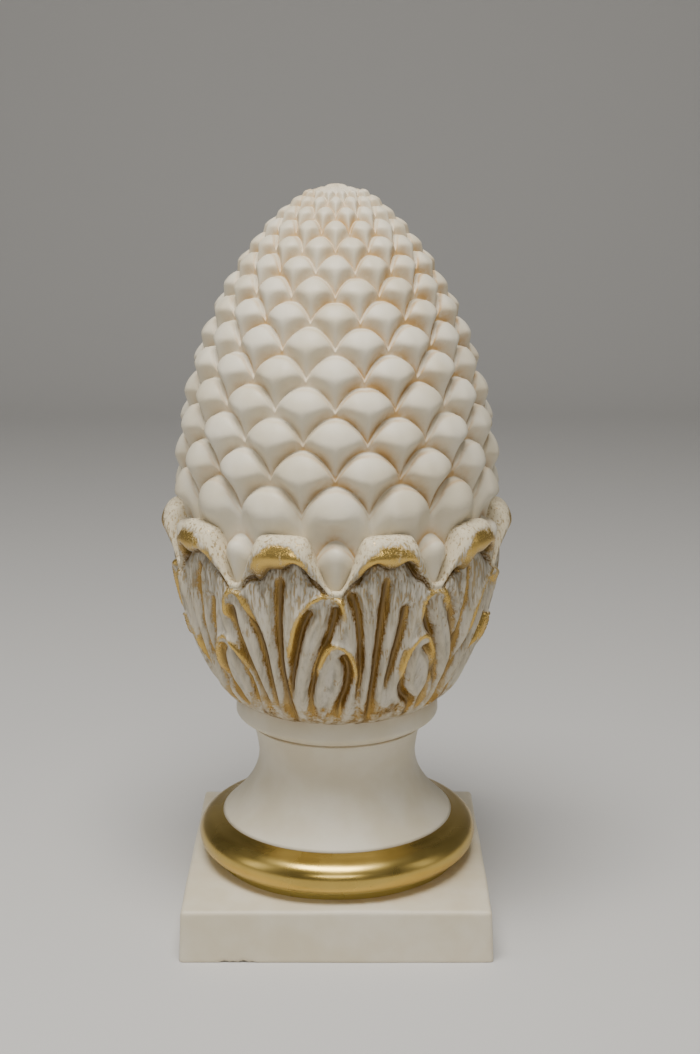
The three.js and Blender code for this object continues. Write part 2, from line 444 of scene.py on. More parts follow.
# Between two leaves stand a small leaf and a folded loop. Each gap is one of
# three: its grooves first, then the raised rims.
FRONT_GAP = {
    "grooves": (
        ((-7.4, 200), (-11.8, 187), (-15.2, 169), (-18.6, 149)),
        ((0.4, 202), (-0.6, 192), (-3.5, 178), (-8.2, 160), (-11.0, 143)),
        ((4.0, 210), (7.1, 198), (8.7, 181), (9.2, 166), (8.9, 150)),
        ((2.2, 174), (4.9, 165), (4.0, 151), (0.9, 138)),
    ),
    "rims": (
        ((-18.4, 161), (-15.8, 176), (-13.6, 189), (-10.6, 198), (-6.4, 204), (-2.2, 206),
         (1.6, 203), (3.0, 193), (2.4, 183)),
        ((-8.2, 156), (-5.8, 166), (-3.6, 174), (-0.2, 178), (3.8, 175), (6.6, 167), (7.8, 157),
         (7.4, 146)),
    ),
}
RIGHT_GAP = {
    "grooves": (
        ((-11.1, 201), (-12.3, 186), (-14.4, 165), (-15.2, 152)),
        ((-3.9, 202), (-3.8, 194), (-0.9, 183), (3.5, 170), (8.0, 155), (10.5, 145)),
        ((3.6, 204), (7.9, 191), (13.4, 172), (16.1, 156), (17.2, 145)),
        ((-7.9, 175), (-9.4, 164), (-7.2, 147), (-0.5, 137)),
        ((-2.7, 176), (2.8, 166), (6.3, 152), (5.5, 140)),
    ),
    "rims": (
        ((-11.0, 148), (-10.2, 160), (-8.9, 170), (-6.5, 177), (-3.1, 180), (-0.1, 175),
         (4.6, 161), (7.4, 150)),
        ((-6.0, 184), (-5.8, 194), (-4.4, 201), (-1.2, 204), (2.6, 203), (6.0, 195), (8.8, 184)),
    ),
}
LEFT_GAP = {
    "grooves": (
        ((-12.0, 201), (-13.5, 185), (-16.0, 168), (-18.0, 150)),
        ((-3.3, 198), (-2.5, 184), (-0.1, 170), (3.4, 146)),
        ((0.9, 204), (5.5, 189), (8.6, 172), (8.7, 147)),
        ((-9.5, 173), (-12.9, 166), (-14.0, 150), (-12.0, 140)),
        ((-5.0, 171), (-2.6, 160), (-1.0, 146)),
    ),
    "rims": (
        ((-16.0, 148), (-15.0, 159), (-13.2, 168), (-8.6, 176), (-4.6, 174), (-1.2, 164),
         (1.2, 152)),
        ((-5.0, 184), (-4.8, 193), (-3.6, 200), (-1.0, 204), (2.0, 202), (5.0, 193), (7.4, 182)),
    ),
}
GAPS_AROUND = (FRONT_GAP, RIGHT_GAP, FRONT_GAP, LEFT_GAP, RIGHT_GAP,
               FRONT_GAP, LEFT_GAP, RIGHT_GAP, FRONT_GAP, LEFT_GAP)


def cup_outline(z):
    """Radius of the plain wall under the carving."""
    share = np.clip((z - CUP_FOOT_Z) / (SWELL_SHARE * CUP_HEIGHT), 0.0, 1.0)
    swell = (1 - (1 - share) ** 2) ** SWELL_FULLNESS
    return mix(CUP_FOOT_DIAMETER, CUP_DIAMETER, swell) / 2


def climb(z):
    """Length of the cup's wall from its foot up to a height."""
    levels = np.linspace(CUP_FOOT_Z, LEAF_TIP_Z, 200)
    steps = np.hypot(np.diff(levels), np.diff(cup_outline(levels)))
    return np.interp(z, levels, np.concatenate(([0.0], np.cumsum(steps))))


def curve_through(points):
    """A soft curve through a few points."""
    points = np.array(points, dtype=float)
    tangent = np.gradient(points, axis=0)
    ends = np.linspace(0, len(points) - 1, CURVE_STEPS + 1)
    first = np.clip(ends.astype(int), 0, len(points) - 2)
    t = (ends - first)[:, None]
    start, end = points[first], points[first + 1]
    leave, arrive = tangent[first], tangent[first + 1]
    return ((2 * t**3 - 3 * t**2 + 1) * start + (t**3 - 2 * t**2 + t) * leave
            + (3 * t**2 - 2 * t**3) * end + (t**3 - t**2) * arrive)


def stroke_distance(degrees, z, points):
    """Distance in mm over the wall to a stroke, and the share along it."""
    curve = curve_through(points)
    along_x = np.radians(curve[:, 0]) * cup_outline(curve[:, 1])
    along_y = climb(curve[:, 1])
    x = np.radians(degrees) * cup_outline(z)
    y = climb(z)
    nearest = np.full(x.shape, 1e6)
    share = np.zeros(x.shape)
    for step in range(len(curve) - 1):
        dx = along_x[step + 1] - along_x[step]
        dy = along_y[step + 1] - along_y[step]
        t = ((x - along_x[step]) * dx + (y - along_y[step]) * dy) / (dx * dx + dy * dy)
        t = np.clip(t, 0.0, 1.0)
        distance = np.hypot(x - along_x[step] - t * dx, y - along_y[step] - t * dy)
        closer = distance < nearest
        nearest = np.where(closer, distance, nearest)
        share = np.where(closer, (step + t) / (len(curve) - 1), share)
    return nearest, share


def gouge(distance, share, width):
    """Depth of a groove that is broad at its top and runs out to a point."""
    ends = smooth(0.0, 0.10, share) * smooth(0.0, 0.35, 1 - share)
    return ends * bell(distance, width * mix(GROOVE_BROAD, GROOVE_NARROW, share))


def bead(distance, share, width):
    """Height of a raised rim that dies away at both ends."""
    return smooth(0.0, 0.15, share) * smooth(0.0, 0.25, 1 - share) * bell(distance, width)


def raise_to(layer, near, strength):
    layer[near] = np.maximum(layer[near], strength)


class Carving:
    """Marks of the gouge on the wall of the cup, each from 0 to 1."""

    def __init__(self, degrees, z):
        self.degrees = degrees
        self.z = z
        self.groove = np.zeros(degrees.shape)
        self.crease_and_shade = np.zeros(degrees.shape)
        self.ridge = np.zeros(degrees.shape)
        self.rim = np.zeros(degrees.shape)

    def follow(self, middle, points):
        """The part of the wall near a stroke, with its distance and share."""
        aside = (self.degrees - middle + 180) % 360 - 180
        near = np.abs(aside) < STROKE_REACH
        return near, *stroke_distance(aside[near], self.z[near], points)

    def cut_grooves(self, middle, strokes):
        """Grooves that run out downwards, with a crease in each and a ridge beside it."""
        for points in strokes:
            last_place, last_z = points[-1]
            near, distance, share = self.follow(middle, (*points, (last_place, last_z - RUN_OUT)))
            raise_to(self.groove, near, gouge(distance, share, GROOVE_WIDTH))
            raise_to(self.crease_and_shade, near, gouge(distance, share, CREASE_WIDTH))
            offset = RIDGE_OFFSET * GROOVE_WIDTH * mix(GROOVE_BROAD, RIDGE_CLOSING, share)
            raise_to(self.ridge, near, bead(distance - offset, share, RIDGE_WIDTH))

    def scratch_lines(self, middle, strokes):
        for points in strokes:
            near, distance, share = self.follow(middle, points)
            raise_to(self.groove, near, LINE_DEPTH * gouge(distance, share, LINE_WIDTH))

    def raise_rims(self, middle, strokes):
        for points in strokes:
            near, distance, share = self.follow(middle, points)
            raise_to(self.rim, near, bead(distance, share, RIM_WIDTH))


def carve_strokes(degrees, z):
    """Grooves, the creases in them, the ridges by them and the raised rims."""
    carving = Carving(degrees, z)
    pitch = 360 / LEAF_COUNT
    for number, gap in enumerate(GAPS_AROUND):
        carving.cut_grooves(number * pitch, gap["grooves"])
        carving.raise_rims(number * pitch, gap["rims"])
        carving.cut_grooves((number + 0.5) * pitch, LEAF_GROOVES)
        carving.scratch_lines((number + 0.5) * pitch, LEAF_LINES)
    ridge = carving.ridge * (1 - carving.groove)
    clear = 1 - carving.rim
    return carving.groove * clear, carving.crease_and_shade * clear, ridge, carving.rim


class LeafHead:
    """The rolled lip along the top of the cup: full on a leaf, thin in a gap."""

    def __init__(self, degrees):
        pitch = 360 / LEAF_COUNT
        aside = degrees % pitch - pitch / 2
        away = np.abs(aside)
        shoulder = smooth(SHOULDER_START, SHOULDER_END, away)
        self.away = away
        self.fullness = 1 - smooth(FULLNESS_SHARE * HEAD_EDGE, FULLNESS_SHARE * GAP_EDGE, away)
        self.lip = mix(LIP_EDGE, LIP_RADIUS, self.fullness)
        self.under = self.lip * (1 + self.fullness * self.belly(degrees, pitch, aside))
        top_z = (LEAF_TIP_Z - SHOULDER_DROP * shoulder
                 - GAP_DEPTH * smooth(HEAD_EDGE, GAP_EDGE, away))
        self.centre_z = top_z - self.lip
        reach = LIP_REACH * self.fullness * (1 - SHOULDER_DRAWN_IN * shoulder)
        self.centre_radius = cup_outline(self.centre_z) + reach - self.lip
        self.start = np.radians(mix(LIP_START_IN_GAP, LIP_START, self.fullness))
        self.start_z = self.centre_z + self.under * np.sin(self.start)
        self.start_radius = self.centre_radius + self.lip * np.cos(self.start)

    def belly(self, degrees, pitch, aside):
        """How far the underside hangs: two arches, side lobes, and a droop on every other head."""
        away = np.abs(aside)
        drooping = np.floor(degrees / pitch).astype(int) % 2
        droop = drooping * bell(aside - DROOP_PLACE, DROOP_WIDTH)
        lobe = smooth(LOBE_START, LOBE_END, away)
        arch = bell(away - ARCH_PLACE, ARCH_WIDTH)
        return LOBE_DROP * lobe + DROOP_DEPTH * droop - ARCH_LIFT * arch


def cup_wall(angle, ring, head):
    """Radius, height and marks of the carved wall, up to the start of the lip."""
    up = np.clip(ring / WALL_RINGS, 0.0, 1.0)
    z = mix(CUP_FOOT_Z, head.start_z, up)
    groove, crease_and_shade, ridge, rim = carve_strokes(np.degrees(angle), z)
    wander = FOLD_WANDER * np.sin(angle * FOLD_WANDERS_ROUND)
    folds = bell(z - FOLD_Z, FOLD_SPREAD) * np.cos(angle * FOLDS_ROUND + wander)
    radius = (cup_outline(z) - GROOVE_DEPTH * groove + RIDGE_HEIGHT * ridge
              + RIM_HEIGHT * rim + FOLD_HEIGHT * folds
              - FOOT_TUCK * smooth(FOOT_TUCK_START, FOOT_TUCK_END, z))

    below_lip = head.start_z - z
    hollow = smooth(mix(HOLLOW_IN_GAP, HOLLOW_ON_LEAF, head.fullness), 0.0, below_lip)
    on_flank = smooth(*UNDERCUT_START, head.away) * smooth(*UNDERCUT_END, head.away)
    undercut = on_flank * bell(below_lip - UNDERCUT_DROP, UNDERCUT_WIDTH)
    radius = mix(radius, head.start_radius, hollow) - UNDERCUT_DEPTH * undercut
    # Painted shade under the rolled lip: here the hollow mark bares the darker gold, and the
    # crease mark darkens the band right under the lip and the undercuts on the flanks.
    shade = HOLLOW_SHADE * head.fullness * hollow ** 2
    marks = {
        "hollow": np.maximum(np.maximum(groove, undercut), shade),
        "crease_and_shade": np.maximum(np.maximum(crease_and_shade, undercut ** 2), head.fullness * hollow ** 6),
        "gilded": rim,
        "cream": EDGE_CREAM * (1 - head.fullness) * smooth(EDGE_CREAM_START, 1.0, up),
        "ridge": ridge,
    }
    return radius, z, marks


def cup_lip(ring, head):
    """Radius, height and marks round the rolled lip, from its underside to its back."""
    share = np.clip((ring - WALL_RINGS) / (LIP_RINGS - 1), 0.0, 1.0)
    turn = mix(head.start, math.radians(LIP_END), share)
    to_back = smooth(BACK_START, BACK_END, share)
    radius = (head.centre_radius + head.lip * np.cos(turn)
              - LIP_TUCK * smooth(LIP_TUCK_START, 1.0, share))
    z = (head.centre_z + np.where(turn < 0, head.under, head.lip) * np.sin(turn)
         + LIP_SLOPE * head.fullness * to_back)

    gold_top = mix(GOLD_TOP, GOLD_TOP_AT_SIDE, smooth(3.0, 10.0, head.away))
    facing_up = smooth(gold_top, gold_top + GOLD_FADE, np.sin(turn) + BACK_CREAM * to_back)
    plain = np.zeros(radius.shape)
    marks = {
        "hollow": plain,
        # Painted shade: the underside of the roll is darkened towards umber.
        "crease_and_shade": BELLY_SHADE * head.fullness * smooth(BELLY_START, BELLY_END, turn),
        "gilded": head.fullness * (1 - facing_up),
        "cream": np.maximum(facing_up, EDGE_CREAM * (1 - head.fullness)),
        "ridge": plain,
    }
    return radius, z, marks


def place_leaves(angle, ring):
    """Radius, height and marks of the points of the cup, wall and lip in one."""
    head = LeafHead(np.degrees(angle))
    wall_radius, wall_z, wall_marks = cup_wall(angle, ring, head)
    lip_radius, lip_z, lip_marks = cup_lip(ring, head)
    on_wall = ring < WALL_RINGS
    radius = np.where(on_wall, wall_radius, lip_radius)
    height = np.where(on_wall, wall_z, lip_z)
    height = np.where(ring < 0, CUP_FOOT_Z, height)
    height = np.where(ring >= WALL_RINGS + LIP_RINGS, LEAF_TIP_Z - GAP_DEPTH - 4, height)
    marks = {}
    for mark, on_lip in lip_marks.items():
        marks[mark] = np.where(on_wall, wall_marks[mark], on_lip)
    return radius, height, marks


def make_cup():
    return carve("cup_of_leaves", COLUMNS_PER_LEAF * LEAF_COUNT, WALL_RINGS + LIP_RINGS,
                 place_leaves)


# The turned foot and the plinth. Sizes in mm, turns in degrees.

PROFILE_SIDES = 160
RING_TOP_TURN = 76.0
RING_FLARE = 2.2
RING_SEAT = 0.5
NECK_SEAT = 3.0
FOOT_CURVE = 1.93
TOP_CURVE = 1.6
BEAD_RADIUS = 0.7
BEAD_SHARE = 0.28
BEAD_GROOVE = 1.9
BEAD_GROOVE_FOOT = 0.62
BEAD_GROOVE_TOP = 0.85
COLLAR_BULGE_SHARE = 0.42
COLLAR_TOP_DRAWN_IN = 5.0
JOINT = 0.1


def turn_profile(name, profile):
    """Turn a closed section, given from axis to axis, into a solid."""
    body = bmesh.new()
    points = [body.verts.new((radius * MM, 0.0, z * MM)) for radius, z in profile]
    chain = [body.edges.new(pair) for pair in zip(points, points[1:])]
    bmesh.ops.spin(body, geom=points + chain, cent=(0, 0, 0), axis=(0, 0, 1),
                   angle=2 * math.pi, steps=PROFILE_SIDES, use_merge=True)
    bmesh.ops.remove_doubles(body, verts=body.verts, dist=1e-6)
    bmesh.ops.recalc_face_normals(body, faces=body.faces)
    mesh = bpy.data.meshes.new(name)
    body.to_mesh(mesh)
    body.free()
    return finish_piece(name, mesh)


def make_ring():
    """The gilded ring with the low fillet under it."""
    foot_z = PLINTH_HEIGHT - 2
    neck_radius = NECK_FOOT_DIAMETER / 2
    under = -math.acos((RING_FOOT_DIAMETER / 2 - RING_CENTRE_RADIUS) / (RING_WIDTH / 2))
    profile = [(0, foot_z), (RING_FOOT_DIAMETER / 2, foot_z)]
    for turn in np.linspace(under, math.radians(RING_TOP_TURN), 40):
        profile.append((RING_CENTRE_RADIUS + RING_WIDTH / 2 * math.cos(turn),
                        RING_CENTRE_Z + RING_THICKNESS / 2 * math.sin(turn)))
    profile.append((neck_radius + RING_FLARE, RING_TOP_Z + RING_SEAT))
    profile.append((neck_radius + 2 * JOINT, NECK_FOOT_Z - JOINT))
    profile.append((0, NECK_FOOT_Z - JOINT))
    return turn_profile("gilded_ring", profile)


def neck_section():
    """The waisted neck, from its seat in the ring up to the fillet."""
    foot_radius = NECK_FOOT_DIAMETER / 2
    section = [(0, NECK_FOOT_Z - NECK_SEAT), (foot_radius - 0.6, NECK_FOOT_Z - NECK_SEAT),
               (foot_radius - 0.3, NECK_FOOT_Z - JOINT)]
    for down in np.linspace(1, 0, 26):
        radius = mix(WAIST_DIAMETER, NECK_FOOT_DIAMETER, down ** FOOT_CURVE) / 2
        section.append((radius, mix(WAIST_Z, NECK_FOOT_Z, down)))
    for up in np.linspace(0, 1, 12)[1:]:
        radius = mix(WAIST_DIAMETER, NECK_TOP_DIAMETER, up ** TOP_CURVE) / 2
        section.append((radius, mix(WAIST_Z, COLLAR_Z, up)))
    return section


def fillet_section(fillet_radius):
    """A small round bead with a groove over it."""
    section = []
    for turn in np.linspace(-0.5, 0.5, 7) * math.pi:
        section.append((fillet_radius - BEAD_RADIUS * (1 - math.cos(turn)),
                        COLLAR_Z + FILLET_HEIGHT * BEAD_SHARE * (1 + math.sin(turn))))
    for share in (BEAD_GROOVE_FOOT, BEAD_GROOVE_TOP):
        section.append((fillet_radius - BEAD_GROOVE, COLLAR_Z + share * FILLET_HEIGHT))
    return section


def collar_section(fillet_radius):
    """The collar, which swells from the fillet and turns in under the leaves."""
    bulge_z = COLLAR_Z + COLLAR_BULGE_SHARE * COLLAR_HEIGHT
    section = []
    for up in np.linspace(0, 1, 16):
        radius = mix(fillet_radius, COLLAR_DIAMETER / 2, math.sin(up * math.pi / 2))
        section.append((radius, mix(COLLAR_Z + FILLET_HEIGHT, bulge_z, up)))
    for turn in np.radians(np.linspace(10, 80, 8)):
        radius = COLLAR_DIAMETER / 2 - COLLAR_TOP_DRAWN_IN * (1 - math.cos(turn))
        section.append((radius, mix(bulge_z, COLLAR_Z + COLLAR_HEIGHT, math.sin(turn))))
    section.append((0, COLLAR_Z + COLLAR_HEIGHT))
    return section


def make_neck():
    """The waisted neck, the fillet at its top and the collar over it."""
    fillet_radius = NECK_TOP_DIAMETER / 2 + FILLET_OVERHANG
    profile = neck_section() + fillet_section(fillet_radius) + collar_section(fillet_radius)
    return turn_profile("neck_and_collar", profile)


PLINTH_DRAFT = 1.2
PLINTH_FLARE = 0.8
PLINTH_WAVE = 0.5
# Chips along the lower front edge: distance from the middle, width, depth.
PLINTH_CHIPS = ((-59.5, 2.2, 0.9), (-55.0, 1.6, 0.8), (-49.5, 2.4, 1.1), (-45.0, 1.5, 0.7))
CHIP_PUSH = 0.6
CHIP_TALLNESS = 1.8
CHIP_INWARDS = 1.4
PLINTH_LOWER_EDGE = 0.6
WIDE_CUTS = 110
HIGH_CUTS = 18
# Slow and quick waves over the slab, in radians a millimetre.
SLOW_WAVE_X = 0.043
SLOW_WAVE_Y = 0.037
QUICK_WAVE = 0.11


def hand_smoothed(x, y, z):
    """A point of the slab, in mm, moved as casting and sanding left it."""
    slow = math.sin(SLOW_WAVE_X * x + 0.8) * math.sin(SLOW_WAVE_Y * y + 2.1)
    wave = slow + 0.5 * math.sin(QUICK_WAVE * (x + y))
    inset = PLINTH_DRAFT * z / PLINTH_HEIGHT - PLINTH_FLARE + 0.3 * PLINTH_WAVE * (1.5 + wave)
    shrink = 1 - 2 * inset / PLINTH_WIDTH
    lowered = PLINTH_WAVE * 0.5 * (1 + wave) * z / PLINTH_HEIGHT
    chip = 0.0
    for middle, width, depth in PLINTH_CHIPS:
        inwards = y + PLINTH_WIDTH / 2
        away = math.hypot(x - middle, CHIP_INWARDS * inwards, CHIP_TALLNESS * z)
        chip = max(chip, depth * math.exp(-((away / width) ** 2)))
    return x * shrink, y * shrink + CHIP_PUSH * chip, z - lowered + chip


def top_of(edge):
    return max(corner.co.z for corner in edge.verts)


def make_plinth():
    """The square slab, crisp below and soft above, cut finely and then waved."""
    slab = bmesh.new()
    bmesh.ops.create_cube(slab, size=1.0)
    bmesh.ops.scale(slab, vec=(PLINTH_WIDTH, PLINTH_WIDTH, PLINTH_HEIGHT), verts=slab.verts)
    bmesh.ops.translate(slab, vec=(0, 0, PLINTH_HEIGHT / 2), verts=slab.verts)
    soft = [edge for edge in slab.edges if top_of(edge) > 1]
    bmesh.ops.bevel(slab, geom=soft, offset=PLINTH_EDGE, offset_type="OFFSET", segments=5,
                    profile=0.5, affect="EDGES", material=-1)
    crisp = [edge for edge in slab.edges if top_of(edge) < 0.01]
    bmesh.ops.bevel(slab, geom=crisp, offset=PLINTH_LOWER_EDGE, offset_type="OFFSET", segments=2,
                    profile=0.5, affect="EDGES", material=-1)
    for shortest, cuts in ((PLINTH_WIDTH / 2, WIDE_CUTS), (PLINTH_HEIGHT / 2, HIGH_CUTS)):
        long_edges = [edge for edge in slab.edges if edge.calc_length() > shortest]
        bmesh.ops.subdivide_edges(slab, edges=long_edges, cuts=cuts, use_grid_fill=True)
    for corner in slab.verts:
        corner.co = hand_smoothed(*corner.co)
    bmesh.ops.scale(slab, vec=(MM, MM, MM), verts=slab.verts)
    bmesh.ops.recalc_face_normals(slab, faces=slab.faces)
    mesh = bpy.data.meshes.new("plinth")
    slab.to_mesh(mesh)
    slab.free()
    return finish_piece("plinth", mesh)


# Materials.

# Sockets of Blender's Mix node when it mixes colours.
MIX_SHARE = 0
MIX_FIRST_COLOUR = 6
MIX_SECOND_COLOUR = 7
MIX_COLOUR_OUT = 2


class Shader:
    """A node tree with short ways to add and join nodes."""

    def __init__(self, tree):
        self.tree = tree

    def add(self, kind, settings=None, **inputs):
        node = self.tree.nodes.new(kind)
        for name, value in (settings or {}).items():
            setattr(node, name, value)
        for name, value in inputs.items():
            self.feed(node, name.replace("_", " "), value)
        return node

    def feed(self, node, socket_name, value):
        """Link or set a socket, which is given by its name or its number."""
        socket = node.inputs[socket_name]
        if isinstance(value, bpy.types.NodeSocket):
            self.tree.links.new(value, socket)
        else:
            socket.default_value = value

    def maths(self, operation, first, second=0.0, clamp=False):
        node = self.add("ShaderNodeMath", {"operation": operation, "use_clamp": clamp})
        self.feed(node, 0, first)
        self.feed(node, 1, second)
        return node.outputs[0]

    def times(self, first, second, clamp=False):
        return self.maths("MULTIPLY", first, second, clamp)

    def plus(self, first, second):
        return self.maths("ADD", first, second)

    def minus(self, first, second):
        return self.maths("SUBTRACT", first, second)

    def larger(self, first, second):
        return self.maths("MAXIMUM", first, second)

    def blend(self, share, first, second):
        """The first colour where the share is 0 and the second where it is 1."""
        node = self.add("ShaderNodeMix", {"data_type": "RGBA"})
        self.feed(node, MIX_SHARE, share)
        self.feed(node, MIX_FIRST_COLOUR, first)
        self.feed(node, MIX_SECOND_COLOUR, second)
        return node.outputs[MIX_COLOUR_OUT]

    def spread(self, value, low, high, to_low=0.0, to_high=1.0):
        """Softly stretch low to high over to_low to to_high."""
        node = self.add("ShaderNodeMapRange", {"interpolation_type": "SMOOTHSTEP"})
        for number, given in enumerate((value, low, high, to_low, to_high)):
            self.feed(node, number, given)
        return node.outputs[0]

    def noise(self, place, scale, detail, roughness=0.55):
        node = self.add("ShaderNodeTexNoise", Vector=place, Scale=scale, Detail=detail,
                        Roughness=roughness)
        return node.outputs[0]

    def mark(self, name):
        return self.add("ShaderNodeAttribute", {"attribute_name": name}).outputs["Fac"]

    def axis(self, place, name):
        return self.add("ShaderNodeSeparateXYZ", Vector=place).outputs[name]


CREAM = (0.64, 0.57, 0.42, 1.0)
PALE_CREAM = (0.70, 0.645, 0.515, 1.0)
HEAD_CREAM = (0.65, 0.57, 0.40, 1.0)
OCHRE = (0.50, 0.31, 0.12, 1.0)
LIMEWASH = (0.34, 0.305, 0.235, 1.0)
PALE_LIMEWASH = (0.60, 0.55, 0.45, 1.0)
UMBER_AND_SHADE = (0.10, 0.058, 0.022, 1.0)
RING_GOLD = (0.50, 0.35, 0.09, 1.0)
PALE_RING_GOLD = (0.66, 0.48, 0.14, 1.0)
LIT_OLIVE_GOLD = (0.70, 0.56, 0.16, 1.0)
BRIGHT_GOLD = (0.68, 0.46, 0.13, 1.0)
GOLD = (0.50, 0.33, 0.10, 1.0)
DULL_GOLD = (0.31, 0.195, 0.06, 1.0)
PAPER = (0.58, 0.57, 0.55, 1.0)

SCALE_WASH = 1.7
NECK_WASH = 0.6
PLINTH_WASH = 0.55
WASH_LEFT = -60.0
WASH_RIGHT = 70.0
PAINT_GRAIN = 0.5
GOLD_GRAIN = 0.03
BRUSH_RELIEF = 0.5


def new_group(name, inputs, outputs):
    group = bpy.data.node_groups.new(name, "ShaderNodeTree")
    for socket_name, kind in inputs:
        group.interface.new_socket(socket_name, in_out="INPUT", socket_type=kind)
    for socket_name, kind in outputs:
        group.interface.new_socket(socket_name, in_out="OUTPUT", socket_type=kind)
    given = group.nodes.new("NodeGroupInput")
    return group, Shader(group), given, group.nodes.new("NodeGroupOutput")


def make_casting_grain():
    """Soft unevenness and fine pinholes of a painted casting, as a height."""
    group, shader, given, out = new_group(
        "casting_grain", [("Place", "NodeSocketVector")], [("Height", "NodeSocketFloat")])
    place = given.outputs["Place"]
    broad = shader.noise(place, 45.0, 3.0)
    pinholes = shader.noise(place, 900.0, 2.0)
    shader.feed(out, "Height", shader.plus(broad, shader.times(pinholes, 0.12)))
    return group


def make_old_wash():
    """Patchy strength of the ochre wash that was wiped over the cream paint.

    The wash was left on thicker towards the right-hand side.
    """
    group, shader, given, out = new_group(
        "old_wash", [("Place", "NodeSocketVector"), ("Seam", "NodeSocketFloat")],
        [("Wash", "NodeSocketFloat"), ("Tone", "NodeSocketFloat")])
    place = given.outputs["Place"]
    patches = shader.spread(shader.noise(place, 16.0, 2.0), 0.35, 0.65, 0.35, 1.0)
    across = shader.axis(place, "X")
    sided = shader.spread(across, WASH_LEFT * MM, WASH_RIGHT * MM, 0.55, 1.0)
    streaks = shader.spread(shader.noise(place, 140.0, 4.0), 0.30, 0.62, 0.35, 1.0)
    wiped = shader.times(shader.times(patches, sided), streaks)
    shader.feed(out, "Wash", shader.times(given.outputs["Seam"], wiped, clamp=True))
    shader.feed(out, "Tone", shader.noise(place, 30.0, 3.0))
    return group


def new_material(name):
    material = bpy.data.materials.new(name)
    material.use_nodes = True
    material.node_tree.nodes.clear()
    shader = Shader(material.node_tree)
    surface = shader.add("ShaderNodeBsdfPrincipled")
    shader.add("ShaderNodeOutputMaterial", Surface=surface.outputs[0])
    place = shader.add("ShaderNodeTexCoord").outputs["Object"]
    return material, shader, surface, place


def add_bump(shader, surface, height, strength, depth_mm):
    bump = shader.add("ShaderNodeBump", Height=height, Strength=strength,
                      Distance=depth_mm * MM)
    shader.feed(surface, "Normal", bump.outputs[0])


def add_grain(shader, surface, place, grain, depth_mm):
    height = shader.add("ShaderNodeGroup", {"node_tree": grain}, Place=place).outputs["Height"]
    add_bump(shader, surface, height, 0.5, depth_mm)


def cream_paint(name, grain, wash, seam, wash_strength):
    """Satin cream with ochre left in the seams. seam(shader, place) masks them."""
    material, shader, surface, place = new_material(name)
    aged = shader.add("ShaderNodeGroup", {"node_tree": wash}, Place=place,
                      Seam=seam(shader, place))
    tone = shader.spread(aged.outputs["Tone"], 0.35, 0.65)
    paint = shader.blend(tone, CREAM, PALE_CREAM)
    strength = shader.times(aged.outputs["Wash"], wash_strength, clamp=True)
    shader.feed(surface, "Base Color", shader.blend(strength, paint, OCHRE))
    shader.feed(surface, "Roughness", shader.spread(aged.outputs["Tone"], 0.3, 0.7, 0.46, 0.58))
    add_grain(shader, surface, place, grain, PAINT_GRAIN)
    return material


def scale_seams(shader, place):
    return shader.mark("seam")


def neck_seams(shader, place):
    """The groove under the collar and the edge under the leaves."""
    z = shader.axis(place, "Z")
    under_leaves = shader.spread(z, (COLLAR_Z + 9) * MM, (COLLAR_Z + COLLAR_HEIGHT) * MM, 0.0, 0.7)
    from_groove = shader.maths("ABSOLUTE", shader.minus(
        z, (COLLAR_Z + 0.75 * FILLET_HEIGHT) * MM))
    in_groove = shader.spread(from_groove, 0.3 * MM, 1.4 * MM, 0.9, 0.0)
    return shader.larger(under_leaves, in_groove)


def plinth_seams(shader, place):
    """The corner where the ring stands on the plinth, and the lower edges."""
    squares = [shader.maths("POWER", shader.axis(place, name), 2.0) for name in "XY"]
    from_axis = shader.maths("SQRT", shader.plus(*squares))
    near_ring = RING_FOOT_DIAMETER / 2 * MM
    by_ring = shader.spread(from_axis, near_ring, near_ring + 17 * MM, 0.9, 0.0)
    faces = shader.spread(shader.axis(place, "Z"), 3 * MM, 24 * MM, 0.30, 0.12)
    return shader.larger(by_ring, faces)


def antique_gold(grain):
    """Satin gold paint, duller and matter at the ring's foot, where it runs thin. Its lighter
    olive colour there is painted light, which makes the strip read as lit.
    """
    material, shader, surface, place = new_material("antique_gold")
    cloud = shader.spread(shader.noise(place, 22.0, 3.0), 0.3, 0.75)
    flecks = shader.spread(shader.noise(place, 420.0, 3.0), 0.5, 0.8, 0.0, 0.06)
    colour = shader.blend(cloud, RING_GOLD, PALE_RING_GOLD)
    colour = shader.blend(flecks, colour, DULL_GOLD)
    # Painted light: the foot strip takes a lighter olive gold so that it looks lit. The gold strip
    # itself is real.
    at_foot = shader.spread(shader.axis(place, "Z"), (PLINTH_HEIGHT + RING_FOOT_HEIGHT) * MM,
                            (RING_CENTRE_Z - 3) * MM, 1.0, 0.0)
    shader.feed(surface, "Base Color", shader.blend(at_foot, colour, LIT_OLIVE_GOLD))
    shader.feed(surface, "Metallic", shader.spread(at_foot, 0.0, 1.0, 1.0, 0.2))
    shader.feed(surface, "Roughness", shader.spread(cloud, 0.0, 1.0, 0.24, 0.34))
    add_grain(shader, surface, place, grain, GOLD_GRAIN)
    return material


class LeafPaint:
    """The marks and the brushwork that the layers on the leaves are made from."""

    def __init__(self, shader, place):
        self.hollow = shader.mark("hollow")
        self.crease_and_shade = shader.mark("crease_and_shade")
        self.gilded = shader.mark("gilded")
        self.cream = shader.mark("cream")
        self.ridge = shader.mark("ridge")
        along = shader.add("ShaderNodeMapping", Vector=place, Scale=(1.0, 1.0, 0.13)).outputs[0]
        self.hairs = shader.noise(along, 900.0, 3.0, 0.6)
        self.streaks = shader.noise(along, 260.0, 5.0, 0.65)
        self.patches = shader.noise(place, 60.0, 4.0, 0.6)
        self.specks = shader.noise(place, 800.0, 3.0, 0.6)
        height = shader.axis(place, "Z")
        self.at_foot = shader.spread(height, (CUP_FOOT_Z + 13) * MM, (CUP_FOOT_Z + 31) * MM,
                                     0.25, 0.0)
        self.near_heads = shader.spread(height, (LEAF_TIP_Z - 54) * MM, (LEAF_TIP_Z - 18) * MM)


